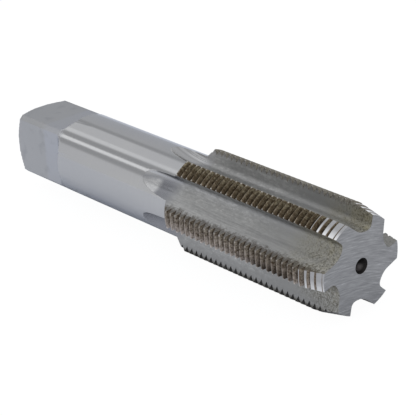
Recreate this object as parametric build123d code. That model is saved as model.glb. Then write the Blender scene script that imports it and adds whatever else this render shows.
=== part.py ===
from build123d import *
import os
from math import ceil, cos, radians, sin, sqrt, tan

os.makedirs("parts", exist_ok=True)

# A hand tap with straight flutes, ground from one bar. It lies along X: the origin is the centre
# of the front face, +X points out of that face and +Z is up, with one flute facing straight down.
# Lengths are in millimetres and angles in degrees.

# Thread, right-handed, with sharp V grooves
major_diameter = 31.75
pitch = 25.4 / 12
thread_length = 63.7
crest_flat = pitch / 8
flank_angle = 30.0
groove_start = 0.4

# Point: the first threads taper to the front, and each land falls away behind its cutting edge
point_diameter = 0.9 * major_diameter
tapered_threads = 3.8
relief_drop = 0.15

# Flutes, milled by a wheel that leaves its own curve where it lifts out into the shank. Web and
# corner radii keep their share of the thread's diameter.
flute_count = 6
web_diameter = 0.605 * major_diameter
flute_gap_angle = 41.6
rake_angle = 6.2
heel_back_angle = 41.5
face_root_radius = 0.055 * major_diameter
heel_root_radius = 0.15 * major_diameter
flute_length = 65.0
wheel_radius = 35.0
web_taper_angle = 0.35

# Shank
overall_length = 146.0
shank_diameter = 25.9
shoulder_angle = 45.0

# Driving square and the bevel round its end
square_size = 19.5
flat_length = 22.7
flat_end_radius = 4.8
square_turn = -2.5
end_bevel_length = 3.9
end_bevel_angle = 60.0

# Centre holes in both ends
centre_mouth_diameter = 4.7
centre_pilot_diameter = 2.0
centre_pilot_depth = 2.5
centre_cone_angle = 60.0

major_radius = major_diameter / 2
shank_radius = shank_diameter / 2
web_radius = web_diameter / 2
flute_step = 360 / flute_count
land_angle = flute_step - flute_gap_angle
shoulder_length = (major_radius - shank_radius) / tan(radians(shoulder_angle))
beyond = 2.0
outside = major_radius + beyond


def turned(outline):
    """The solid of an outline of x and radius, turned about the tap's axis."""
    return revolve(Plane.XZ * make_face(outline), Axis.X)


def bar():
    """The turned bar: thread length, shoulder, shank and end bevel."""
    bevel_drop = end_bevel_length * tan(radians(end_bevel_angle))
    outline = Polyline(
        (0, 0),
        (0, major_radius),
        (-thread_length, major_radius),
        (-thread_length - shoulder_length, shank_radius),
        (-overall_length + end_bevel_length, shank_radius),
        (-overall_length, shank_radius - bevel_drop),
        (-overall_length, 0),
        close=True,
    )
    return turned(outline)


def centre_hole():
    """A drilled pilot with a conical mouth, entering at the origin and running towards -X."""
    mouth_radius = centre_mouth_diameter / 2
    pilot_radius = centre_pilot_diameter / 2
    cone_depth = (mouth_radius - pilot_radius) / tan(radians(centre_cone_angle / 2))
    pilot_end = -cone_depth - centre_pilot_depth
    outline = Polyline(
        (0, 0),
        (0, mouth_radius),
        (-cone_depth, pilot_radius),
        (pilot_end, pilot_radius),
        (pilot_end - pilot_radius, 0),
        close=True,
    )
    return turned(outline)


def flute_section(x):
    """The section of the flute on +Z at x: cutting face, web and heel back, corners rounded."""
    half_gap = radians(flute_gap_angle / 2)
    edge_across = major_radius * sin(half_gap)
    edge_height = major_radius * cos(half_gap)
    face_lean = tan(half_gap - radians(rake_angle))
    heel_lean = 1 / tan(radians(heel_back_angle))
    to_web = edge_height - web_radius
    to_outside = outside - edge_height
    corners = Polyline(
        (-edge_across - to_outside * face_lean, outside),
        (-edge_across + to_web * face_lean, web_radius),
        (edge_across - to_web * heel_lean, web_radius),
        (edge_across + to_outside * heel_lean, outside),
        close=True,
    )
    section = make_face(corners)
    face_root, heel_root = section.vertices().sort_by(Axis.Y)[:2].sort_by(Axis.X)
    section = fillet(face_root, face_root_radius)
    section = fillet(section.vertices().sort_by_distance(heel_root)[0], heel_root_radius)
    return Plane((x, 0, 0), x_dir=(0, -1, 0), z_dir=(-1, 0, 0)) * section


def flute():
    """What the wheel clears for the flute on +Z: a straight run, then its curve out of the bar."""
    straight = extrude(flute_section(beyond), flute_length + beyond)
    wheel_axis = Axis((-flute_length, 0, web_radius + wheel_radius), (0, 1, 0))
    run_out = revolve(flute_section(-flute_length), wheel_axis, 45)
    web_line = Axis((0, 0, web_radius), (0, 1, 0))
    return (straight + run_out).rotate(web_line, web_taper_angle)


def point_relief():
    """What is ground off the land on +Z at the point, outside a cone set off to one side."""
    point_radius = point_diameter / 2
    slope = (major_radius - point_radius) / (tapered_threads * pitch)
    half_land = sin(radians(land_angle / 2))
    offset = relief_drop / (2 * half_land)
    cone_radius = point_radius - offset * half_land
    length = tapered_threads * pitch + relief_drop / slope
    outline = Polyline(
        (beyond, 0),
        (beyond, cone_radius - beyond * slope),
        (-length, cone_radius + length * slope),
        (-length, 0),
        close=True,
    )
    cone = Pos(0, -offset, 0) * turned(outline)
    half_width = major_radius * sin(radians(flute_step / 2))
    ground = Polyline(
        (beyond, web_radius),
        (beyond, outside),
        (-length, outside),
        (-length, web_radius),
        close=True,
    )
    return extrude(Plane.XZ * make_face(ground), half_width, both=True) - cone


def thread_groove():
    """One land's length of the helical V groove, centred on the land on +Z."""
    flank_lean = tan(radians(flank_angle))
    groove_depth = (pitch - crest_flat) / (2 * flank_lean)
    clear_depth = groove_depth + crest_flat / 4
    half_top = clear_depth * flank_lean
    arc = (flute_step + land_angle) / 2
    helix = Helix(pitch, pitch * arc / 360, major_radius - groove_depth, direction=(1, 0, 0))
    outline = Polyline((0, 0), (half_top, clear_depth), (-half_top, clear_depth), close=True)
    start = Plane(helix @ 0, x_dir=(1, 0, 0), z_dir=(0, -1, 0))
    groove = sweep(start * make_face(outline), path=helix, is_frenet=True)
    return Pos(-pitch * arc / 720, 0, 0) * groove.rotate(Axis.X, -arc / 2)


def thread_grooves():
    """Every groove on every land: each land takes the same ones, moved on along the helix."""
    groove = thread_groove()
    turns = ceil((thread_length + shoulder_length) / pitch) + 1
    grooves = []
    for land in range(flute_count):
        angle = land_direction(land)
        for turn in range(turns):
            x = groove_start + pitch * (angle / 360 - turn)
            grooves.append(Pos(x, 0, 0) * groove.rotate(Axis.X, angle - 90))
    return grooves


def land_direction(land):
    """A land's direction about the axis, counted from +Y towards +Z."""
    return (land + 0.5) * flute_step - 90


def square_cuts():
    """Four flats on the end of the shank, each rising to it along a round cutter's curve."""
    half_size = square_size / 2
    height = shank_radius - half_size
    reach = sqrt(flat_end_radius**2 - (flat_end_radius - height) ** 2)
    flat_end = -overall_length + flat_length
    flat = Line((-overall_length - beyond, half_size), (flat_end, half_size))
    curve = RadiusArc(flat @ 1, (flat_end + reach, shank_radius), -flat_end_radius)
    rest = Polyline(curve @ 1, (flat_end + reach, outside), (-overall_length - beyond, outside), flat @ 0)
    cut = extrude(Plane.XZ * make_face([flat, curve, rest]), shank_radius, both=True)
    return [cut.rotate(Axis.X, square_turn + 90 * side) for side in range(4)]


def tap():
    """The bar with its flutes, square, centre holes, tapered point and thread."""
    flutes = [flute().rotate(Axis.X, flute_step * number) for number in range(flute_count)]
    rear_hole = Pos(-overall_length, 0, 0) * centre_hole().rotate(Axis.Z, 180)
    body = bar() - flutes - square_cuts() - [centre_hole(), rear_hole]
    reliefs = [point_relief().rotate(Axis.X, land_direction(land) - 90) for land in range(flute_count)]
    return body - reliefs - thread_grooves()


export_step(tap(), "parts/tap.step")
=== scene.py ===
import bpy
from math import atan2, cos, pi, radians, sin, sqrt, tan
from mathutils import Matrix, Vector


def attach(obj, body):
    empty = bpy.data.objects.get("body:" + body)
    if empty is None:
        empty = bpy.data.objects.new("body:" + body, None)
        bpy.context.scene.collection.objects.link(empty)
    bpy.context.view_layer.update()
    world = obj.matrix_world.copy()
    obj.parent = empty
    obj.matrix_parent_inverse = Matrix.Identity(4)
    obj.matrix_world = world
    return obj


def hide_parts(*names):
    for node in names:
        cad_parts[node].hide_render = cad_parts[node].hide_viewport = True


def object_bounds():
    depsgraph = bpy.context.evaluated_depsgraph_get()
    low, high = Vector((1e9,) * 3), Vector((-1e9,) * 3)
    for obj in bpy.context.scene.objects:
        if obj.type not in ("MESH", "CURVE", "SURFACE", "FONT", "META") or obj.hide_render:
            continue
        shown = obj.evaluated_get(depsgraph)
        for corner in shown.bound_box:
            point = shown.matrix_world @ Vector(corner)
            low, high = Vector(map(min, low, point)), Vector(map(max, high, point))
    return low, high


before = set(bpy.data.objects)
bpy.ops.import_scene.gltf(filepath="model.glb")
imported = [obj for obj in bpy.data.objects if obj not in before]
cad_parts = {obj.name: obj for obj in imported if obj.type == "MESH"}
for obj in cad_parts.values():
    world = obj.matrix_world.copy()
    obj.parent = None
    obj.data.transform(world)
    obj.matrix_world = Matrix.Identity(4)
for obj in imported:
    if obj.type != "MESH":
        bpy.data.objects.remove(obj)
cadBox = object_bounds()
print("frame loaded")

# The tap lies along X: the origin is the centre of its front face and the shank runs to -X.
# Angles round it are counted from +Y towards +Z. The tree works in millimetres and radians.


class Wire:
    # a node's output that can be added, multiplied and compared like a number
    def __init__(self, nodes, socket):
        self.nodes = nodes
        self.socket = socket

    def maths(self, operation, *values):
        return self.nodes.make("ShaderNodeMath", {"operation": operation}, dict(enumerate(values)))

    def __add__(self, other):
        return self.maths("ADD", self, other)

    def __radd__(self, other):
        return self.maths("ADD", other, self)

    def __sub__(self, other):
        return self.maths("SUBTRACT", self, other)

    def __rsub__(self, other):
        return self.maths("SUBTRACT", other, self)

    def __mul__(self, other):
        return self.maths("MULTIPLY", self, other)

    def __rmul__(self, other):
        return self.maths("MULTIPLY", other, self)

    def __truediv__(self, other):
        return self.maths("DIVIDE", self, other)

    def __rtruediv__(self, other):
        return self.maths("DIVIDE", other, self)

    def __neg__(self):
        return self.maths("MULTIPLY", self, -1.0)

    def __gt__(self, other):
        return self.maths("GREATER_THAN", self, other)

    def __lt__(self, other):
        return self.maths("LESS_THAN", self, other)

    def __abs__(self):
        return self.maths("ABSOLUTE", self)

    def sine(self):
        return self.maths("SINE", self)

    def cosine(self):
        return self.maths("COSINE", self)

    def root(self):
        return self.maths("SQRT", self)

    def floor(self):
        return self.maths("FLOOR", self)

    def nearest(self):
        return self.maths("ROUND", self)

    def least(self, *others):
        result = self
        for other in others:
            result = self.maths("MINIMUM", result, other)
        return result

    def most(self, *others):
        result = self
        for other in others:
            result = self.maths("MAXIMUM", result, other)
        return result

    def within(self, low, high):
        return self.most(low).least(high)

    def towards(self, other, share):
        return self + (other - self) * share

    def ramp(self, low, high, start=0.0, end=1.0, smooth=False):
        # start below low, end above high, and evenly (or softly) between
        settings = {"interpolation_type": "SMOOTHSTEP" if smooth else "LINEAR", "clamp": True}
        return self.nodes.make("ShaderNodeMapRange", settings, {0: self, 1: low, 2: high, 3: start, 4: end})

    def band(self, low, full, last, high):
        # 1 from full to last, falling to 0 at low and at high
        return self.ramp(low, full) * self.ramp(high, last)

    def stops(self, points):
        # straight lines between (position, value) points, level outside them
        result = points[0][1]
        for (low, before), (high, after) in zip(points, points[1:]):
            if after != before:
                result = result + self.ramp(low, high, 0.0, after - before)
        return result


class Nodes:
    # the node tree that is being built
    def __init__(self, tree):
        self.tree = tree

    def make(self, kind, settings=None, values=None, output=0):
        node = self.tree.nodes.new(kind)
        for name, value in (settings or {}).items():
            setattr(node, name, value)
        for name, value in (values or {}).items():
            if isinstance(value, Wire):
                self.tree.links.new(value.socket, node.inputs[name])
            else:
                node.inputs[name].default_value = value
        return Wire(self, node.outputs[output])

    def vector(self, x, y, z):
        return self.make("ShaderNodeCombineXYZ", {}, {0: x, 1: y, 2: z})

    def coordinate(self, vector, axis):
        # 0 for X, 1 for Y and 2 for Z
        return self.make("ShaderNodeSeparateXYZ", {}, {0: vector}, output=axis)

    def blend(self, first, second, share):
        return self.make("ShaderNodeMixShader", {}, {0: share, 1: first, 2: second})


majorDiameter = 31.75  # the flute's web and roots keep their share of it

tapSizes = {
    "majorRadius": majorDiameter / 2,
    "pitch": 25.4 / 12,
    "threadLength": 63.7,
    "grooveStart": 0.4,
    "flankAngle": radians(30),
    "pointRadius": 14.2875,
    "taperedThreads": 3.8,
    "reliefDrop": 0.15,
    "webRadius": 0.3025 * majorDiameter,
    "halfGap": radians(20.8),
    "rake": radians(6.2),
    "heelBack": radians(41.5),
    "faceRoot": 0.055 * majorDiameter,
    "heelRoot": 0.15 * majorDiameter,
    "fluteLength": 65.0,
    "wheelRadius": 35.0,
    "webTaper": radians(0.35),
    "overallLength": 146.0,
    "shankRadius": 12.95,
    "squareHalf": 9.75,
    "flatLength": 22.7,
    "flatEndRadius": 4.8,
    "squareTurn": radians(-2.5),
    "bevelLength": 3.9,
    "bevelAngle": radians(60),
    "mouthRadius": 2.35,
    "pilotRadius": 1.0,
    "pilotDepth": 2.5,
    "holeAngle": radians(30),  # from the axis to the wall of a centre hole's mouth
    "edgeWear": 0.045,
}

# how the grid is laid over the tap: how many rows and columns, and the places that some keep to
gridPlan = {
    "flutes": 6,
    "landBefore": 10,  # spans of a half land, up to the cutting edge
    "wall": [3, 4, 1, 5, 4],  # cutting face, its root, web, heel root, heel back
    "landAfter": 14,
    "faceRows": 8,
    "rowsPerThread": 6,
    "threads": 32,
    "shoulderRows": 9,
    "runOutRows": 34,
    "shankRows": 5,
    "flatEndRows": 13,
    "flatRows": 3,
    "bevelRows": 12,
    "halvings": 12,  # steps in the search for a flute's edges
    "runOutEnd": -81.2,
    "tipAngle": radians(-6.8),  # the line on which a flute's run-out ends
    # columns on the lines where the square's flats meet the round shank, with those lines' angles
    "linesBefore": [(4, radians(-21.34)), (7, radians(-13.66))],
    "linesAfter": [(6, radians(8.66)), (9, radians(16.34))],
    "rings": (5.6, 8.8),  # radii inside the front face's outline
    "lastRing": 0.985,  # share of the way from the outer ring to the outline
    # on the rings, the angles of the cutting edge, of its face and of the face's root
    "cuttingBase": (radians(-27.1), radians(-26.9), radians(-24.4)),
    "heelBase": 0.004,  # how far the wall's last column keeps from the heel on the rings
    "mergeDistance": 0.000006,
    "sharpAngle": radians(22),
}


def fluteNumbers(s):
    # the straight and round parts of the flute's wall, across it and out from the axis
    edgeAcross = s["majorRadius"] * sin(s["halfGap"])
    edgeHeight = s["majorRadius"] * cos(s["halfGap"])
    lean = s["halfGap"] - s["rake"]
    toWeb = edgeHeight - s["webRadius"]
    faceTurn = pi / 2 - lean
    faceCentre = -edgeAcross + toWeb * tan(lean) + s["faceRoot"] * tan(faceTurn / 2)
    heelCentre = edgeAcross - toWeb / tan(s["heelBack"]) - s["heelRoot"] * tan(s["heelBack"] / 2)
    return {
        "faceSlope": 1 / tan(lean),
        "heelSlope": tan(s["heelBack"]),
        "faceTurn": faceTurn,
        "faceCentre": faceCentre,
        "faceReach": s["faceRoot"] * sin(faceTurn),
        "heelCentre": heelCentre,
        "heelReach": s["heelRoot"] * sin(s["heelBack"]),
    }


def pointNumbers(s):
    # the relief: each land's end lies on a cone set off towards its cutting edge
    halfLand = pi / gridPlan["flutes"] - s["halfGap"]
    slope = (s["majorRadius"] - s["pointRadius"]) / (s["taperedThreads"] * s["pitch"])
    offset = s["reliefDrop"] / (2 * sin(halfLand))
    crestFlat = s["pitch"] / 8
    depth = (s["pitch"] - crestFlat) / 2 / tan(s["flankAngle"])
    return {
        "halfLand": halfLand,
        "coneSlope": slope,
        "coneOffset": offset,
        "coneRadius": s["pointRadius"] - offset * sin(halfLand),
        "grooveRadius": s["majorRadius"] - depth,
        "flankRise": 1 / tan(s["flankAngle"]),
    }


def tapTree(name, sizes, plan, materials):
    tree = bpy.data.node_groups.new(name, "GeometryNodeTree")
    tree.interface.new_socket("Geometry", in_out="INPUT", socket_type="NodeSocketGeometry")
    tree.interface.new_socket("Geometry", in_out="OUTPUT", socket_type="NodeSocketGeometry")
    for label in sizes:
        tree.interface.new_socket(label, in_out="INPUT", socket_type="NodeSocketFloat")
    nodes = Nodes(tree)
    given = tree.nodes.new("NodeGroupInput")
    # size holds the tree's inputs, and number the same values for what is worked out beforehand
    size = {label: Wire(nodes, given.outputs[label]) for label in sizes}
    number = sizes

    # columns of one sixth: half a land, the flute's wall, half the next land
    flutes = plan["flutes"]
    wall = plan["wall"]
    wallStart = plan["landBefore"] + 1
    wallEnd = wallStart + sum(wall)
    afterStart = wallEnd + 1
    columnsEach = afterStart + plan["landAfter"]
    columns = columnsEach * flutes

    # rows from the bottom of the front centre hole to the bottom of the rear one
    threadRow = plan["faceRows"] + 1
    shoulderRow = threadRow + plan["threads"] * plan["rowsPerThread"]
    runOutRow = shoulderRow + plan["shoulderRows"]
    shankRow = runOutRow + plan["runOutRows"]
    flatEndRow = shankRow + plan["shankRows"]
    flatRow = flatEndRow + plan["flatEndRows"]
    bevelRow = flatRow + plan["flatRows"]
    lastRow = bevelRow + plan["bevelRows"]
    rows = lastRow + 5

    gridSizes = {"Size X": 1.0, "Size Y": 1.0, "Vertices X": columns + 1, "Vertices Y": rows}
    grid = nodes.make("GeometryNodeMeshGrid", {}, gridSizes)
    place = nodes.make("GeometryNodeInputPosition")
    column = ((nodes.coordinate(place, 0) + 0.5) * columns).nearest()
    row = ((nodes.coordinate(place, 1) + 0.5) * (rows - 1)).nearest()

    column = column - columns * (column > columns - 0.5)  # the last column closes on the first
    sector = ((column + 0.5) / columnsEach).floor()
    inSector = column - sector * columnsEach
    step = 2 * pi / flutes
    middle = (sector + 0.5) * step
    wrap = sector > flutes - 1.5

    # rows of the thread follow its helix
    threadIndex = row - threadRow
    turn = ((threadIndex + 0.5) / plan["rowsPerThread"]).floor()
    key = threadIndex - turn * plan["rowsPerThread"]
    keyAt = [key > count - 0.5 for count in range(1, plan["rowsPerThread"])]
    isThread = (row > threadRow - 0.5) * (row < shoulderRow - 0.5)
    shoulderEnd = -number["threadLength"] - (number["majorRadius"] - number["shankRadius"])
    flatEnd = -number["overallLength"] + number["flatLength"]
    flatRise = number["shankRadius"] - number["squareHalf"]
    flatReach = sqrt(number["flatEndRadius"] ** 2 - (number["flatEndRadius"] - flatRise) ** 2)
    straightX = row.stops([
        (threadRow, 0.0),
        (threadRow + 1, -number["threadLength"]),
        (shoulderRow, -number["threadLength"]),
        (runOutRow, shoulderEnd),
        (shankRow, plan["runOutEnd"]),
        (flatEndRow, flatEnd + flatReach),
        (flatRow, flatEnd),
        (bevelRow, -number["overallLength"] + number["bevelLength"]),
        (lastRow, -number["overallLength"]),
    ])
    straightX = straightX * (row > threadRow + 0.5)
    farOut = 20.0  # added to the height of a cut that doesn't reach

    def coneAt(x, fromLand):
        # the tapered point's radius, at an angle from the middle of the land
        centre = size["coneRadius"] - x * size["coneSlope"]
        side = size["coneOffset"] * fromLand.cosine()
        return size["coneOffset"] * fromLand.sine() + (centre * centre - side * side).root()

    def halfGroove(x, fromLand, away):
        # half a groove's width at the surface, towards the face (1) or the shank (-1)
        cone = coneAt(x, fromLand)
        slope = size["coneSlope"] * (cone < size["majorRadius"]) * away
        height = cone.least(size["majorRadius"]) - size["grooveRadius"]
        whole = (size["majorRadius"] - size["grooveRadius"]) / size["flankRise"]
        return (height / (size["flankRise"] + slope)).within(0.0, whole)

    def stationX(angle, fromLand, turnBack):
        # six rows to a thread: the groove's root, the crest's middle and two on each worn edge
        groove = size["grooveStart"] + size["pitch"] * (angle / (2 * pi) - turn - turnBack)
        following = groove - size["pitch"]
        back = halfGroove(groove, fromLand, -1.0)
        front = halfGroove(following, fromLand, 1.0)
        wear = size["edgeWear"].least(back * 0.5)
        crest = (size["pitch"] - back - front) * 0.5 - wear
        x = groove - keyAt[0] * (back - wear) - keyAt[1] * wear * 2 - keyAt[2] * crest
        x = x - keyAt[3] * crest - keyAt[4] * wear * 2
        x = x.within(-size["threadLength"], -size["edgeWear"])
        return straightX.towards(x, isThread)

    def smoothRadius(x, fromLand, angle=None):
        # the bar without its thread grooves
        bar = size["majorRadius"] + x + size["threadLength"]
        bar = bar.within(size["shankRadius"], size["majorRadius"])
        radius = bar.least(coneAt(x, fromLand))
        if angle is None:
            return radius
        bevel = (-x - size["overallLength"] + size["bevelLength"]).most(0.0) * tan(number["bevelAngle"])
        bevelled = size["shankRadius"] - bevel + (bevel < 0.001) * farOut
        quarter = (angle - size["squareTurn"]) / (pi / 2)
        fromFlat = (quarter - quarter.nearest()) * (pi / 2)
        cutter = number["flatEndRadius"]
        past = (x - flatEnd).within(0.0, cutter)
        flatHeight = number["squareHalf"] + cutter - (cutter ** 2 - past * past).root()
        flatHeight = flatHeight + (x > flatEnd + cutter - 0.01) * farOut
        return radius.least(bevelled, flatHeight / fromFlat.cosine())

    def grooveAt(x, angle):
        # the radius of the thread groove's nearest wall
        across = (x - size["grooveStart"]) / size["pitch"] - angle / (2 * pi)
        return size["grooveRadius"] + abs(across - across.nearest()) * size["pitch"] * size["flankRise"]

    def wallHeight(across, x):
        # the flute's wall, lifted along the wheel's curve where it runs out
        near = (size["faceCentre"] - across).within(0.0, size["faceReach"])
        far = (across - size["heelCentre"]).within(0.0, size["heelReach"])
        rise = size["faceRoot"] - (size["faceRoot"] * size["faceRoot"] - near * near).root()
        rise = rise + (size["faceCentre"] - size["faceReach"] - across).most(0.0) * size["faceSlope"]
        rise = rise + size["heelRoot"] - (size["heelRoot"] * size["heelRoot"] - far * far).root()
        rise = rise + (across - size["heelCentre"] - size["heelReach"]).most(0.0) * size["heelSlope"]
        past = (-x - size["fluteLength"]).most(0.0)
        inWheel = (size["wheelRadius"] - rise).most(0.0)
        lifted = size["wheelRadius"] - (inWheel * inWheel - past * past).most(0.0).root()
        return size["webRadius"] + lifted - x * size["webTaper"]

    def cutDepth(fromMiddle, side):
        # how far the surface at this angle stands above the flute's wall
        fromLand = fromMiddle - side * (step / 2)
        angle = middle + fromMiddle
        x = stationX(angle, fromLand, wrap if side > 0 else 0.0)
        radius = smoothRadius(x, fromLand).least(grooveAt(x, angle))
        return radius * fromMiddle.cosine() - wallHeight(radius * fromMiddle.sine(), x)

    # both edges of the flute by halving, from the line where its run-out ends
    tipAngle = plan["tipAngle"]
    sides = {"cutting": -1, "heel": 1}
    zoneStart = tree.nodes.new("GeometryNodeRepeatInput")
    zoneEnd = tree.nodes.new("GeometryNodeRepeatOutput")
    zoneStart.pair_with_output(zoneEnd)
    zoneEnd.repeat_items.clear()
    for edge in sides:
        zoneEnd.repeat_items.new("FLOAT", edge + " solid")
        zoneEnd.repeat_items.new("FLOAT", edge + " open")
    zoneStart.inputs["Iterations"].default_value = plan["halvings"]
    edgeAngles = []
    for edge, side in sides.items():
        zoneStart.inputs[edge + " solid"].default_value = side * step / 2
        zoneStart.inputs[edge + " open"].default_value = tipAngle
        solid = Wire(nodes, zoneStart.outputs[edge + " solid"])
        opened = Wire(nodes, zoneStart.outputs[edge + " open"])
        between = (solid + opened) * 0.5
        isCut = cutDepth(between, side) > 0.0
        tree.links.new(between.towards(solid, isCut).socket, zoneEnd.inputs[edge + " solid"])
        tree.links.new(opened.towards(between, isCut).socket, zoneEnd.inputs[edge + " open"])
        found = Wire(nodes, zoneEnd.outputs[edge + " solid"]) + Wire(nodes, zoneEnd.outputs[edge + " open"])
        edgeAngles.append(found * 0.5)
    cuttingAngle, heelAngle = edgeAngles
    edgeX, edgeAcross, edgeOut = [], [], []
    for angle, side in zip(edgeAngles, sides.values()):
        fromLand = angle - side * (step / 2)
        x = stationX(middle + angle, fromLand, wrap if side > 0 else 0.0)
        edgeX.append(x)
        radius = smoothRadius(x, fromLand, middle + angle).least(grooveAt(x, middle + angle))
        edgeAcross.append(radius * angle.sine())
        edgeOut.append(radius * angle.cosine())

    # lands: columns keep to the lines where the square's flats meet the round shank
    before = [(kept, (line + step / 2) / (tipAngle + step / 2)) for kept, line in plan["linesBefore"]]
    after = [(kept, (line - tipAngle) / (step / 2 - tipAngle)) for kept, line in plan["linesAfter"]]
    beforeShare = inSector.stops([(0, 0.0), *before, (plan["landBefore"], 1.0)])
    afterShare = (inSector - afterStart).stops([(0, 0.0), *after, (plan["landAfter"], 1.0)])
    gap = heelAngle - cuttingAngle
    inset = (gap * 0.25).least(number["edgeWear"] / number["majorRadius"])
    isAfter = inSector > afterStart - 0.5
    landAngle = -step / 2 + (cuttingAngle - inset + step / 2) * beforeShare
    afterAngle = heelAngle + inset + (step / 2 - heelAngle - inset) * afterShare
    landAngle = landAngle.towards(afterAngle, isAfter)
    landFrom = landAngle + step / 2 - isAfter * step
    landX = stationX(middle + landAngle, landFrom, wrap * isAfter)
    plainRadius = smoothRadius(landX, landFrom, middle + landAngle)
    groove = grooveAt(landX, middle + landAngle)
    grooved = plainRadius.least(groove)
    landAcross = grooved * landAngle.sine()
    landOut = grooved * landAngle.cosine()
    toothDepth = (plainRadius - grooved) / (number["majorRadius"] - number["grooveRadius"])

    # the flute's wall, from just under the cutting edge to just under the heel
    wallIndex = inSector - wallStart
    ends = [sum(wall[:count]) for count in range(len(wall) + 1)]
    room = (edgeAcross[1] - edgeAcross[0]) * 0.25
    first = edgeAcross[0] + room.least(number["edgeWear"] * 0.25)
    last = edgeAcross[1] - room.least(number["edgeWear"] * 0.75)
    shares = [wallIndex.ramp(low, high) for low, high in zip(ends, ends[1:])]
    faceEnd = size["faceCentre"] - size["faceReach"]
    heelEnd = size["heelCentre"] + size["heelReach"]
    wallAcross = first + (faceEnd - first) * shares[0]
    wallAcross = wallAcross + size["faceReach"]
    wallAcross = wallAcross - size["faceRoot"] * (size["faceTurn"] * (1 - shares[1])).sine()
    wallAcross = wallAcross + (size["heelCentre"] - size["faceCentre"]) * shares[2]
    wallAcross = wallAcross + size["heelRoot"] * (size["heelBack"] * shares[3]).sine()
    wallAcross = wallAcross + (last - heelEnd) * shares[4]
    wallAcross = wallAcross.within(first, last)
    wallX = edgeX[0].towards(edgeX[1], (wallIndex + 1) / (ends[-1] + 2))
    wallOut = wallHeight(wallAcross, wallX).least(edgeOut[0].most(edgeOut[1]))

    isWall = (inSector > wallStart - 0.5) * (inSector < afterStart - 0.5)
    # 0 for the front face, 1 for a flute, 2 for a threaded land, 3 for the shank
    part = (row > threadRow - 0.5) * (2 - isWall)
    part = part + (row > runOutRow + 0.5) * (1 - isWall) + (row > shankRow + 0.5) * isWall * 2
    across = landAcross.towards(wallAcross, isWall)
    out = landOut.towards(wallOut, isWall)
    x = landX.towards(wallX, isWall)

    # the faces and centre holes close the ends: rings inside the outline
    heelRise = number["heelRoot"] * (1 - cos(number["heelBack"]))
    heelRootEnd = atan2(number["heelCentre"] + number["heelReach"], number["webRadius"] + heelRise)
    edgeBase, faceBase, rootBase = plan["cuttingBase"]
    baseAngle = inSector.stops([
        (0, -step / 2),
        (plan["landBefore"], edgeBase),
        (wallStart, faceBase),
        (wallStart + ends[1], rootBase),
        (wallStart + ends[2], atan2(number["faceCentre"], number["webRadius"])),
        (wallStart + ends[3], atan2(number["heelCentre"], number["webRadius"])),
        (wallStart + ends[4], heelRootEnd),
        (wallEnd, number["halfGap"] - plan["heelBase"]),
        (afterStart, number["halfGap"]),
        (columnsEach, step / 2),
    ])
    coneDepth = (number["mouthRadius"] - number["pilotRadius"]) / tan(number["holeAngle"])
    pilotEnd = coneDepth + number["pilotDepth"]
    tipEnd = pilotEnd + number["pilotRadius"]
    length = number["overallLength"]
    innerRing, outerRing = plan["rings"]
    ringRadius = row.stops([
        (0, 0.0),
        (1, number["pilotRadius"]),
        (2, number["pilotRadius"]),
        (3, number["mouthRadius"]),
        (4, innerRing),
        (5, outerRing),
        (lastRow, outerRing),
        (lastRow + 1, number["mouthRadius"]),
        (lastRow + 2, number["pilotRadius"]),
        (lastRow + 3, number["pilotRadius"]),
        (lastRow + 4, 0.0),
    ])
    ringX = row.stops([
        (0, -tipEnd),
        (1, -pilotEnd),
        (2, -coneDepth),
        (3, 0.0),
        (lastRow, 0.0),
        (lastRow + 1, -length),
        (lastRow + 2, -length + coneDepth),
        (lastRow + 3, -length + pilotEnd),
        (lastRow + 4, -length + tipEnd),
    ])
    # 0 on the rings and holes, 1 on the outline
    share = row.stops([
        (5, 0.0),
        (plan["faceRows"], plan["lastRing"]),
        (threadRow, 1.0),
        (lastRow, 1.0),
        (lastRow + 1, 0.0),
    ])
    across = (ringRadius * baseAngle.sine()).towards(across, share)
    out = (ringRadius * baseAngle.cosine()).towards(out, share)
    x = ringX.towards(x, share)

    sideY = out * middle.cosine() - across * middle.sine()
    sideZ = out * middle.sine() + across * middle.cosine()
    shaped = nodes.vector(x * 0.001, sideY * 0.001, sideZ * 0.001)  # in metres

    def keep(geometry, label, value, domain="POINT"):
        settings = {"data_type": "FLOAT", "domain": domain}
        values = {"Geometry": geometry, "Name": label, "Value": value}
        return nodes.make("GeometryNodeStoreNamedAttribute", settings, values)

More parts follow.
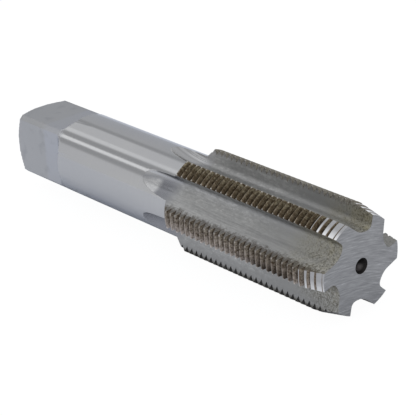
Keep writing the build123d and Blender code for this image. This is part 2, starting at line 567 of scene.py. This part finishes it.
    mesh = keep(grid, "part", part, "FACE")
    mesh = keep(mesh, "toothDepth", toothDepth * (1 - isWall) * share)
    mesh = keep(mesh, "fromGroove", (groove - plainRadius) / size["flankRise"] * (1 - isWall))
    mesh = keep(mesh, "acrossLand", (landFrom / (2 * size["halfLand"]) + 0.5) * (1 - isWall))
    mesh = keep(mesh, "acrossFlute", (wallIndex / ends[-1]).within(0.0, 1.0))
    moved = nodes.make("GeometryNodeSetPosition", {}, {"Geometry": mesh, "Position": shaped})
    merging = {"Geometry": moved, "Distance": plan["mergeDistance"]}
    joined = nodes.make("GeometryNodeMergeByDistance", {}, merging)
    flipped = nodes.make("GeometryNodeFlipFaces", {}, {"Mesh": joined})
    smooth = nodes.make(
        "GeometryNodeSetShadeSmooth",
        {"domain": "FACE"},
        {"Geometry": flipped, "Shade Smooth": True},
    )
    corner = nodes.make("GeometryNodeInputMeshEdgeAngle")
    sharp = nodes.make(
        "GeometryNodeSetShadeSmooth",
        {"domain": "EDGE"},
        {"Geometry": smooth, "Selection": corner > plan["sharpAngle"], "Shade Smooth": False},
    )
    finished = nodes.make("GeometryNodeRealizeInstances", {}, {"Geometry": sharp})
    stored = nodes.make("GeometryNodeInputNamedAttribute", {"data_type": "FLOAT"}, {"Name": "part"})
    for index, material in enumerate(materials):
        chosen = (stored > index - 0.5) * (stored < index + 0.5)
        values = {"Geometry": finished, "Selection": chosen, "Material": material}
        finished = nodes.make("GeometryNodeSetMaterial", {}, values)
    result = tree.nodes.new("NodeGroupOutput")
    tree.links.new(finished.socket, result.inputs["Geometry"])
    return tree


def bakeTree(name, tree, sizes):
    # runs the tree on an empty mesh and keeps its result as a plain object
    holder = bpy.data.objects.new(name + "Holder", bpy.data.meshes.new(name + "Holder"))
    bpy.context.scene.collection.objects.link(holder)
    modifier = holder.modifiers.new(name, "NODES")
    modifier.node_group = tree
    for item in tree.interface.items_tree:
        if item.in_out == "INPUT" and item.name in sizes:
            modifier[item.identifier] = float(sizes[item.name])
    graph = bpy.context.evaluated_depsgraph_get()
    mesh = bpy.data.meshes.new_from_object(holder.evaluated_get(graph), depsgraph=graph)
    holder.modifiers.remove(modifier)
    bpy.data.objects.remove(holder)
    mesh.name = name
    piece = bpy.data.objects.new(name, mesh)
    bpy.context.scene.collection.objects.link(piece)
    return piece


class Finish(Nodes):
    # a material's tree, with the helpers that every finish here uses
    def __init__(self, name):
        self.material = bpy.data.materials.new(name)
        self.material.use_nodes = True
        super().__init__(self.material.node_tree)
        self.shader = self.tree.nodes["Principled BSDF"]
        self.shader.inputs["Metallic"].default_value = 1.0
        place = self.make("ShaderNodeTexCoord", output=3)
        self.x, self.y, self.z = [self.coordinate(place, axis) * 1000 for axis in range(3)]  # millimetres
        self.back = -self.x  # behind the front face
        self.whole = self.vector(self.x, self.y, self.z)

    def fromAxis(self):
        return (self.y * self.y + self.z * self.z).root()

    def stretched(self, along, around=1.0):
        # shares below 1 draw a pattern out along the tap, or across it
        return self.vector(self.x * along, self.y * around, self.z * around)

    def noise(self, where, scale, detail=3.0, roughness=0.5, low=0.3, high=0.7):
        # noise spread over 0 to 1, its scale in patches to the millimetre
        values = {"Vector": where, "Scale": scale, "Detail": detail, "Roughness": roughness}
        return self.make("ShaderNodeTexNoise", {}, values).ramp(low, high)

    def mix(self, first, second, share):
        return self.make("ShaderNodeMix", {"data_type": "RGBA"}, {0: share, 6: first, 7: second}, output=2)

    def layers(self, colour, *coats):
        # colours laid one over the other, each with its share
        for coat, share in coats:
            colour = self.mix(colour, coat, share)
        return colour

    def attribute(self, label):
        return self.make("ShaderNodeAttribute", {"attribute_name": label}, output=2)

    def finish(self, colour, roughness, bumps, metallic=None):
        # a bump is a height and its depth in millimetres, and lies over the one before it
        wires = {"Base Color": colour, "Roughness": roughness}
        if metallic is not None:
            wires["Metallic"] = metallic
        below = {}
        for height, depth in bumps:
            values = {"Height": height, "Strength": 1.0, "Distance": depth * 0.001, **below}
            below = {"Normal": self.make("ShaderNodeBump", {}, values)}
        for label, wire in {**wires, **below}.items():
            self.tree.links.new(wire.socket, self.shader.inputs[label])
        return self.material


# Places in the finishes are in millimetres: behind the front face, sideways or up from the axis.
# A pair is where something starts and where it is full, and four numbers are a band.

shankLook = {
    "steel": (0.565, 0.565, 0.565, 1),
    "shade": (0.51, 0.515, 0.53, 1),
    "stain": (0.38, 0.385, 0.40, 1),
    "square": (0.485, 0.49, 0.50, 1),
    "burnish": (0.50, 0.515, 0.56, 1),
    # painted shade for the shank's underside
    "underShade": (0.20, 0.23, 0.30, 1),
    "edgeTint": (0.84, 0.86, 0.91, 1),
    "roughness": (0.08, 0.13),
    "lines": 1.6,  # turned lines to the millimetre
    "squareStart": (119, 123),
    "burnishEnd": (130, 128.6),
    "underHeight": (-8.4, -10.2),
    "underSide": (-3.0, -6.0),
    "lineDepth": 0.0010,
}


def polishedShank(look):
    finish = Finish("polishedShank")
    finish.shader.inputs["Specular Tint"].default_value = look["edgeTint"]
    clouds = finish.noise(finish.stretched(0.4), 0.09, 3)
    turned = finish.noise(finish.stretched(1.0, 0.04), look["lines"], 4, 0.6)
    specks = finish.noise(finish.whole, 0.55, 4, 0.6, 0.66, 0.78)
    smudges = finish.noise(finish.whole, 0.24, 2, 0.5, 0.57, 0.7)
    onSquare = finish.back.ramp(*look["squareStart"], smooth=True)
    burnished = finish.back.ramp(*look["burnishEnd"]) * onSquare
    # painted shade: the underside of the round shank is painted darker
    underShade = finish.z.ramp(*look["underHeight"]) * finish.y.ramp(*look["underSide"]) * (1 - onSquare)
    colour = finish.layers(
        look["steel"],
        (look["shade"], clouds * 0.7),
        (look["shade"], turned * 0.35),
        (look["stain"], specks * 0.4),
        (look["square"], onSquare * 0.8),
        (look["burnish"], burnished * (clouds * 0.4 + 0.3)),
        (look["stain"], smudges * onSquare * 0.45),
        (look["underShade"], underShade * 0.8),
    )
    roughness = clouds.ramp(0, 1, *look["roughness"]) + turned * 0.03 + specks * 0.08
    roughness = roughness + onSquare * 0.32 - burnished * 0.08
    return finish.finish(colour, roughness, [(turned * (1 - onSquare), look["lineDepth"])])


fluteLook = {
    "steel": (0.62, 0.62, 0.61, 1),
    "bright": (0.82, 0.82, 0.805, 1),
    "dark": (0.365, 0.365, 0.36, 1),
    "smooth": (0.29, 0.295, 0.32, 1),
    "rubbed": (0.57, 0.57, 0.575, 1),
    "patch": (0.80, 0.80, 0.80, 1),
    "oil": (0.50, 0.465, 0.34, 1),
    "grit": (0.08, 0.07, 0.05, 1),
    "edgeStainAndShade": (0.12, 0.10, 0.08, 1),
    "film": (0.37, 0.365, 0.33, 1),
    "rim": (0.85, 0.83, 0.80, 1),
    "edgeTint": (0.6, 0.6, 0.6, 1),
    "runOut": (62, 69),
    "runOutTip": (71.4, 73.6),
    "dullEnd": (36, 21),
    "dullStart": (3, 14),
    "oilEnd": (20.0, 1.0),  # cutting oil has dried near the face
    "stripeEnd": (45, 20),
    "heelBand": (13.3, 14.5),  # from the axis, the band of painted shade along a heel
    "topFlute": (7.5, 9.0),
    "lowFlute": (-3.0, -6.0),
    "lineDepth": 0.008,
    "gritDepth": 0.015,
    "blotchDepth": 0.012,
}


def milledFlute(look):
    finish = Finish("milledFlute")
    finish.shader.inputs["Specular Tint"].default_value = look["edgeTint"]
    across = finish.attribute("acrossFlute")
    radius = finish.fromAxis()
    lines = finish.noise(finish.stretched(0.05), 2.6, 4, 0.65, 0.25, 0.75)
    fine = finish.noise(finish.stretched(0.12), 6.0, 3, 0.6)
    grain = finish.noise(finish.whole, 1.9, 4, 0.7)
    blotches = finish.noise(finish.stretched(0.5), 1.2, 4, 0.75, 0.42, 0.58)
    patches = finish.noise(finish.whole, 0.22, 3)
    specks = finish.noise(finish.whole, 1.3, 4, 0.7, 0.52, 0.66)
    ragged = (finish.noise(finish.whole, 0.9, 4, 0.75, 0.35, 0.65) - 0.5) * 1.6
    # the run-out, and the bright patch at its tip
    ranOut = finish.back.ramp(*look["runOut"], smooth=True)
    notRanOut = 1 - ranOut
    onTop = finish.z.ramp(*look["topFlute"])
    towardHeel = across.ramp(0.6, 0.85)
    tip = finish.back.ramp(*look["runOutTip"], smooth=True) * finish.z.band(0.0, 2.0, 7.0, 8.0)
    # painted light: the wall behind a heel is painted lighter, apart from its edge, which gets a band of
    # painted shade
    nearHeel = across.ramp(0.5, 0.6) * (radius + ragged).ramp(*look["heelBand"])
    heelBack = across.ramp(0.5, 0.72) * (1 - nearHeel) * finish.z.band(0.0, 2.0, 7.5, 9.0)
    # painted shade: a dark band along the heel's edge, streaked by the grinding lines
    heelShade = nearHeel * (0.6 + lines * 0.4) * finish.z.ramp(-7.0, -2.0)
    # painted shade: the heel side of the lowest flute is painted darker
    lowHeelShade = across.ramp(0.7, 0.9) * finish.z.ramp(-8.0, -10.5) * finish.back.ramp(4.0, 16.0)
    # oil, film and grit near the front face
    duller = finish.back.ramp(*look["dullEnd"]) * (0.4 + finish.back.ramp(*look["dullStart"]) * 0.5)
    nearFace = finish.back.ramp(*look["oilEnd"])
    oily = nearFace * finish.noise(finish.whole, 0.35, 5, 0.7, 0.25, 0.65)
    oily = oily * finish.y.ramp(9.5, 6.0) * finish.z.ramp(-12.0, 3.0)
    stripe = across.band(0.38, 0.5, 0.65, 0.8) * finish.z.ramp(8.0, 9.0)
    stripe = stripe * finish.back.ramp(*look["stripeEnd"])
    lower = nearFace * finish.z.ramp(*look["lowFlute"])
    gritty = (nearFace * 0.5 + oily * 0.7 + lower * 0.6).ramp(0.1, 0.8)
    grit = finish.noise(finish.whole, 1.9, 4, 0.7, 0.45, 0.62) * gritty
    # along the edges
    stain = radius.ramp(14.0, 15.5) * grain.ramp(0.1, 0.75) * finish.z.ramp(3.0, 8.0)
    # painted shade along the flutes' lower edges
    underShade = radius.ramp(14.8, 15.5) * finish.z.ramp(-8.0, -9.5)
    rim = radius.ramp(15.2, 15.7) * across.ramp(0.35, 0.25) * finish.z.ramp(3.0, 0.0) * notRanOut
    colour = finish.layers(
        look["dark"],
        (look["steel"], lines * 0.6 + grain * 0.4),
        (look["bright"], (fine * lines).ramp(0.3, 0.8) * 0.6),
        (look["dark"], patches.ramp(0.55, 0.9) * 0.35),
        (look["dark"], (blotches * 0.8 + duller).within(0.0, 1.0)),
        # painted light on the wall behind a heel
        (look["bright"], heelBack * (0.1 + lines * 0.46)),
        (look["smooth"], ranOut * 0.95),
        (look["rubbed"], ranOut * onTop),
        (look["rim"], ranOut * onTop * towardHeel * 0.8),
        (look["patch"], tip * (0.7 + blotches * 0.3)),
        (look["film"], nearFace * 0.45),
        (look["oil"], oily * 0.85),
        # a lighter stripe, and more painted light behind the heel near the face
        (look["bright"], stripe * 0.45 + heelBack * nearFace * 0.4),
        (look["bright"], specks * lower * 0.55),
        (look["grit"], grit * 0.7),
        # painted shade on the low heel side
        (look["dark"], lowHeelShade * 0.85),
        # real stains along the top edges, and the painted shade band by the heel
        (look["edgeStainAndShade"], (stain + heelShade).within(0.0, 1.0) * notRanOut * 0.8),
        # the grit colour here is painted shade under the lower edges
        (look["grit"], underShade * 0.75),
        (look["rim"], rim * 0.8),
    )
    roughness = lines * 0.12 + 0.42 + oily * 0.12 - ranOut * 0.2
    roughness = roughness - ranOut * onTop * (0.1 - towardHeel * 0.35)
    scratches = (lines * 0.6 + fine * 0.4) * (1 - ranOut * 0.95)
    return finish.finish(colour, roughness, [
        (scratches, look["lineDepth"]),
        (grit * notRanOut, look["gritDepth"]),
        (blotches * notRanOut, look["blotchDepth"]),
    ])


threadLook = {
    "crest": (0.50, 0.42, 0.33, 1),
    "worn": (0.82, 0.79, 0.75, 1),
    "flank": (0.22, 0.178, 0.12, 1),
    "root": (0.028, 0.02, 0.014, 1),
    "olive": (0.38, 0.34, 0.235, 1),
    "oil": (0.085, 0.06, 0.036, 1),
    "clean": (0.70, 0.63, 0.595, 1),
    "ground": (0.39, 0.39, 0.40, 1),
    "groundEdge": (0.88, 0.88, 0.89, 1),
    "burr": (0.15, 0.10, 0.055, 1),
    # painted shade for the thread's underside
    "paintedUnderShade": (0.085, 0.085, 0.09, 1),
    "dull": (0.36, 0.345, 0.30, 1),
    "turned": (0.43, 0.42, 0.40, 1),
    "pointEnd": (9.8, 9.0),  # the point's own grinding takes the crests up to here
    "cleanSide": (-12.0, -9.0, -4.0, 6.0),
    "grimy": (10.5, 12.5, 20, 32),
    "filled": (10, 13, 24, 36),  # grooves that dirt has filled
    "shoulder": (64.0, 64.8),
    "underHeight": (-8.0, -10.5),
    "stainDepth": 0.045,
    "lineDepth": 0.008,
}


def stainedThread(look):
    finish = Finish("stainedThread")
    depth = finish.attribute("toothDepth")
    inside = finish.attribute("fromGroove")
    across = finish.attribute("acrossLand")
    patches = finish.noise(finish.whole, 0.28, 4, 0.6)
    mottle = finish.noise(finish.whole, 0.8, 5, 0.75, 0.4, 0.6)
    speckle = finish.noise(finish.whole, 1.5, 4, 0.75, 0.43, 0.58)
    spots = finish.noise(finish.whole, 0.55, 4, 0.7, 0.5, 0.64)
    # patches of painted glint for the crests
    bright = finish.noise(finish.whole, 0.32, 3, 0.6, 0.38, 0.62) * 0.6 + 0.4
    ridges = finish.noise(finish.stretched(1.0, 0.15), 3.0, 3, 0.6)
    crest = inside.ramp(-0.16, 0.04)
    point = finish.back.ramp(*look["pointEnd"])
    lessStained = finish.z.band(*look["cleanSide"])
    underside = finish.z.ramp(*look["underHeight"])
    topLand = finish.y.ramp(-1.0, 2.0) * finish.z.ramp(6.0, 9.0)
    edge = across.ramp(0.9, 0.97) + across.ramp(0.08, 0.02) * (1 - lessStained)
    # painted shade on the heel side of the cleaner lands
    heelSideShade = across.ramp(0.36, 0.1) * lessStained * (1 - point)
    cuttingSide = across.ramp(0.6, 0.9) * lessStained * finish.back.ramp(24, 36)
    atShoulder = finish.back.ramp(45, 60)
    rooted = (0.3 + across.ramp(0.0, 0.3) * 0.7).most(lessStained)
    grimy = finish.back.band(*look["grimy"]) * lessStained
    gaps = across.ramp(0.45, 0.85) * finish.back.band(*look["filled"]) * lessStained
    shoulder = finish.back.ramp(*look["shoulder"]) * (1 - depth.ramp(0.0, 0.2))
    ground = inside.ramp(0.0, 0.13) * point * (1 - underside * 0.7)
    towardCut = across.ramp(0.35, 0.95) * (1 - lessStained * 0.35)
    bare = finish.mix(look["ground"], look["groundEdge"], towardCut)
    colour = finish.layers(
        look["flank"],
        (look["olive"], across.ramp(0.75, 0.15) * (mottle * 0.75 + 0.25)),
        (look["oil"], patches * 0.25 + speckle * 0.7),
        (look["clean"], lessStained * (0.35 + mottle * 0.4 + atShoulder * 0.2)),
        (look["root"], depth.ramp(0.3, 0.8) * (0.5 + speckle * 0.5) * rooted),
        # worn crests are lighter metal, with painted glints in patches
        (look["crest"], crest * mottle * bright * (0.5 + across.ramp(0.5, 0.95) * 0.5)),
        (look["clean"], crest * lessStained * (0.35 + speckle * 0.4)),
        (look["oil"], speckle * (1 - mottle) * 0.9),
        (look["oil"], spots * (1 - lessStained) * 0.55),
        (look["oil"], grimy * (0.25 + mottle * 0.4)),
        (look["root"], gaps * (1 - crest * 0.6)),
        # painted shade at the heel side of the lands
        (look["root"], heelSideShade * (0.45 + speckle * 0.25)),
        (look["clean"], cuttingSide * (0.15 + crest * 0.2)),
        (look["dull"], topLand * (0.9 - speckle * 0.4)),
        (look["worn"], (edge * crest).within(0.0, 1.0) * (0.35 + mottle * 0.6)),
        (look["burr"], inside.ramp(-0.14, 0.0) * point * (0.7 + mottle * 0.25)),
        # painted shade: the underside of the thread is painted darker
        (look["paintedUnderShade"], underside * 0.8),
        (look["turned"], shoulder * (0.7 + patches * 0.3)),
        (bare, ground),
    )
    roughness = 0.5 - crest * 0.12 - point * crest * 0.1 + patches * 0.1
    bumps = [(mottle + speckle * 0.5, look["stainDepth"]), (ridges, look["lineDepth"])]
    return finish.finish(colour, roughness, bumps, metallic=1 - ground * 0.75)


faceLook = {
    "steel": (0.45, 0.45, 0.452, 1),
    "bright": (0.68, 0.68, 0.68, 1),
    "dark": (0.17, 0.17, 0.175, 1),
    # painted shade: the centre hole is painted near black
    "hole": (0.035, 0.033, 0.032, 1),
    "holeGlint": (0.30, 0.28, 0.28, 1),
    "holeRim": (2.5, 2.3),  # from the axis
    "glint": (0.8, 1.6, 3.2, 4.2),
    "linesTilt": radians(-14),
    "linesBow": 0.008,
    "lineDepth": 0.014,
}


def groundFace(look):
    finish = Finish("groundFace")
    along = finish.y * cos(look["linesTilt"]) + finish.z * sin(look["linesTilt"])
    across = finish.z * cos(look["linesTilt"]) - finish.y * sin(look["linesTilt"])
    across = across + along * along * look["linesBow"]
    lines = finish.noise(finish.vector(along * 0.09, across, 0.0), 2.2, 4, 0.65, 0.25, 0.75)
    fine = finish.noise(finish.vector(along * 0.05, across, 3.0), 5.5, 3, 0.6)
    clouds = finish.noise(finish.whole, 0.14, 3)
    inHole = finish.fromAxis().ramp(*look["holeRim"]) * finish.back.ramp(0.02, 0.1)
    glint = (-finish.z).ramp(0.1, 0.9) * finish.back.band(*look["glint"]) * inHole
    colour = finish.layers(
        look["dark"],
        (look["steel"], lines * 0.75 + 0.3 - clouds * 0.1),
        (look["bright"], (fine * lines).ramp(0.35, 0.85) * 0.7),
        # painted shade in the centre hole, with a painted glint on its lower wall
        (look["hole"], inHole),
        (look["holeGlint"], glint * (0.3 + clouds * 0.5)),
    )
    roughness = lines * 0.12 + 0.33 + inHole * 0.2
    return finish.finish(colour, roughness, [(lines * 0.7 + fine * 0.3, look["lineDepth"])])


allSizes = {**tapSizes, **fluteNumbers(tapSizes), **pointNumbers(tapSizes)}
# in the order of the part numbers that the tree stores
finishes = [
    groundFace(faceLook),
    milledFlute(fluteLook),
    stainedThread(threadLook),
    polishedShank(shankLook),
]
threadTap = bakeTree("threadTap", tapTree("tapTree", allSizes, gridPlan, finishes), allSizes)
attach(threadTap, "root")
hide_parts("tap")
print("tap:", len(threadTap.data.polygons), "faces")


def facing(right, up, back, spot):
    # the place of a camera or lamp that looks along minus back
    return Matrix([*zip(right, up, back, spot), (0, 0, 0, 1)])


cameraView = {
    "right": (0.66008, 0.74658, -0.08314),
    "up": (-0.27563, 0.34368, 0.89772),
    "back": (0.69880, -0.56966, 0.43264),
    "spot": (0.29326, -0.29018, 0.21848),
    "sensor": 36,
    "lens": 149.81,
}


def placeCamera(view):
    camera = bpy.data.objects.new("camera", bpy.data.cameras.new("camera"))
    bpy.context.scene.collection.objects.link(camera)
    camera.matrix_world = facing(view["right"], view["up"], view["back"], view["spot"])
    camera.data.sensor_width = view["sensor"]
    camera.data.lens = view["lens"]
    bpy.context.scene.camera = camera


def rayKinds(nodes):
    # whether a reflection meets the surface, and whether the camera sees it
    glossy = nodes.make("ShaderNodeLightPath", output="Is Glossy Ray")
    camera = nodes.make("ShaderNodeLightPath", output="Is Camera Ray")
    return glossy, camera.most(nodes.make("ShaderNodeLightPath", output="Is Transmission Ray"))


worldLook = {
    "light": (0.97, 0.985, 1.0, 1),
    "lightLevel": 0.88,
    "mirrored": (0.97, 0.98, 1.0, 1),  # what the steel mirrors
    "mirroredLevel": 0.62,
    # the dark gaps between the soft lamps, as angles about the tap, up from the near side
    "lowGap": (radians(33), radians(38), radians(70), radians(76)),
    "highGap": (radians(112), radians(116), radians(121), radians(128)),
    "gapDepth": 0.16,
    "farSide": (radians(112), radians(130)),
    "farDepth": 0.03,
}


def whiteWorld(look):
    world = bpy.data.worlds.new("studio")
    world.use_nodes = True
    bpy.context.scene.world = world
    nodes = Nodes(world.node_tree)
    light = nodes.tree.nodes["Background"]
    light.inputs["Color"].default_value = look["light"]
    light.inputs["Strength"].default_value = look["lightLevel"]
    white = nodes.make("ShaderNodeBackground", {}, {"Color": (1, 1, 1, 1), "Strength": 1.0})
    toward = nodes.make("ShaderNodeTexCoord")
    turning = {0: nodes.coordinate(toward, 2), 1: -nodes.coordinate(toward, 1)}
    turn = nodes.make("ShaderNodeMath", {"operation": "ARCTAN2"}, turning)
    gaps = turn.band(*look["lowGap"]) + turn.band(*look["highGap"])
    level = look["mirroredLevel"] - gaps * look["gapDepth"] - turn.ramp(*look["farSide"]) * look["farDepth"]
    mirrored = nodes.make("ShaderNodeBackground", {}, {"Color": look["mirrored"], "Strength": level})
    glossy, seen = rayKinds(nodes)
    mixed = nodes.blend(Wire(nodes, light.outputs[0]), mirrored, glossy)
    mixed = nodes.blend(mixed, white, seen)
    nodes.tree.links.new(mixed.socket, nodes.tree.nodes["World Output"].inputs["Surface"])


floorLook = {
    "corners": [(-1.6, -1.6), (1.4, -1.6), (1.4, 1.6), (-1.6, 1.6)],
    "colour": (0.74, 0.755, 0.80, 1),
    "roughness": 0.9,
    "whiteLevel": 1.04,
    "whiteShare": 0.93,  # of what the camera sees, so that the tap's shadow stays
    "mirroredLevel": 0.95,
    "mirroredShare": 0.5,
    "clear": (0.010, 0.024),  # metres beside the axis: the tap's own shade lies under it
}


def paleFloor(look):
    low = cadBox[0][2]
    mesh = bpy.data.meshes.new("floor")
    mesh.from_pydata([(x, y, low) for x, y in look["corners"]], [], [(0, 1, 2, 3)])
    floor = bpy.data.objects.new("floor", mesh)
    bpy.context.scene.collection.objects.link(floor)
    material = bpy.data.materials.new("floor")
    material.use_nodes = True
    nodes = Nodes(material.node_tree)
    plain = nodes.tree.nodes["Principled BSDF"]
    plain.inputs["Base Color"].default_value = look["colour"]
    plain.inputs["Roughness"].default_value = look["roughness"]
    white = nodes.make("ShaderNodeEmission", {}, {"Color": (1, 1, 1, 1), "Strength": look["whiteLevel"]})
    mirroring = {"Color": look["colour"], "Strength": look["mirroredLevel"]}
    mirrored = nodes.make("ShaderNodeEmission", {}, mirroring)
    glossy, seen = rayKinds(nodes)
    aside = abs(nodes.coordinate(nodes.make("ShaderNodeTexCoord", output=3), 1))
    clear = aside.ramp(*look["clear"])
    mixed = nodes.blend(Wire(nodes, plain.outputs[0]), mirrored, glossy * clear * look["mirroredShare"])
    mixed = nodes.blend(mixed, white, seen * look["whiteShare"])
    nodes.tree.links.new(mixed.socket, nodes.tree.nodes["Material Output"].inputs["Surface"])
    mesh.materials.append(material)


lampTarget = (-0.06, 0.0, 0.0)

# direction, distance, length, height, and how bright the lamp's own face is
softLamps = {
    "shankLine": ((-0.70, -0.42, 0.576), 0.9, 0.55, 0.09, 0.68),
    "topPanel": ((-0.70, 0.02, 0.713), 1.0, 0.8, 0.46, 0.12),
    "topEdge": ((-0.70, -0.14, 0.70), 1.0, 0.8, 0.13, 0.18),
    "sidePanel": ((-0.70, -0.71, 0.03), 1.1, 0.9, 0.81, 0.11),
    "frontFill": ((0.75, -0.55, 0.75), 1.1, 0.9, 0.9, 0.5),
}


def softLamp(name, direction, distance, width, height, brightness):
    lamp = bpy.data.lights.new(name, "AREA")
    lamp.shape = "RECTANGLE"
    lamp.size = width
    lamp.size_y = height
    lamp.energy = brightness * pi * width * height
    holder = bpy.data.objects.new(name, lamp)
    bpy.context.scene.collection.objects.link(holder)
    away = Vector(direction).normalized()
    side = Vector((1, 0, 0))
    side = (side - away * side.dot(away)).normalized()
    holder.matrix_world = facing(side, away.cross(side), away, Vector(lampTarget) + away * distance)


bpy.context.scene.view_settings.view_transform = "Standard"
placeCamera(cameraView)
whiteWorld(worldLook)
paleFloor(floorLook)
for lampName, lampValues in softLamps.items():
    softLamp(lampName, *lampValues)
print("studio set")
